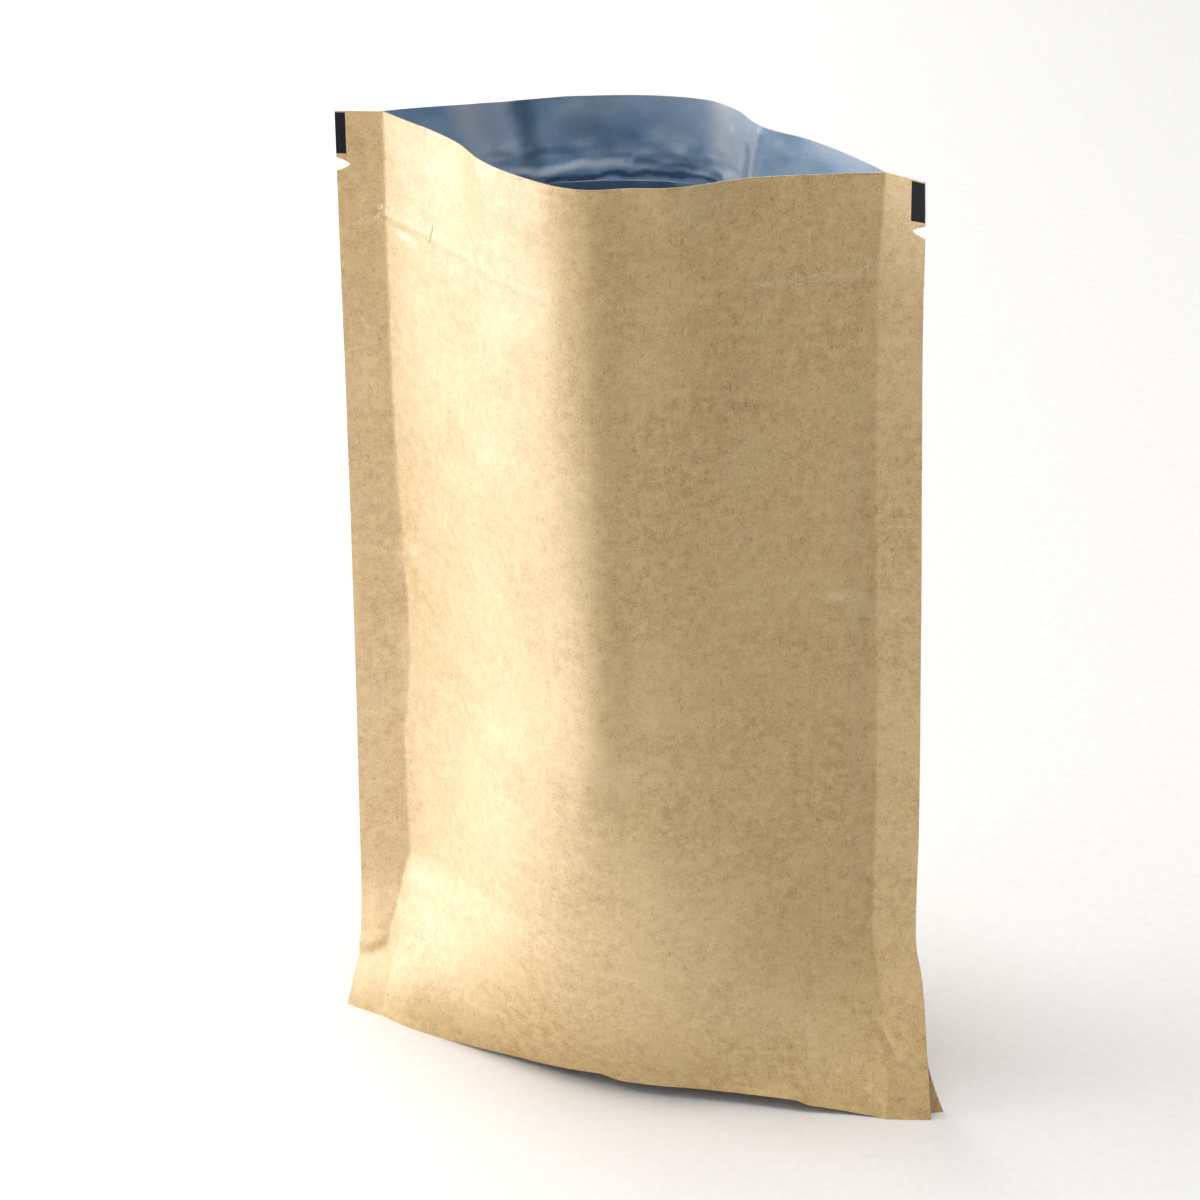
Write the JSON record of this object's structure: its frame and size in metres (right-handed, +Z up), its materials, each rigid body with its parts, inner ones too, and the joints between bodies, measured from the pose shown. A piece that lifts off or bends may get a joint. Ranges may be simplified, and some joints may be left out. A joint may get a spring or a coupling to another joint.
{
  "type": "kraft stand-up pouch",
  "caption": "Open, empty stand-up pouch of brown kraft paper lined with foil, with a bottom gusset, tear notches and a press-to-close strip.",
  "frame": {"origin": "on the table under the middle of the pouch's bounding box", "axes": "+Z up to the open mouth, +X along the width to the side seal on the right as seen from the front, -Y to the front"},
  "size_m": [0.1479, 0.0623, 0.23],
  "materials": {
    "kraft": "satin",
    "zip": "satin"
  },
  "bodies": {
    "root": {"pouch": "kraft", "zip_front": "zip", "zip_back": "zip"}
  },
  "joints": []
}
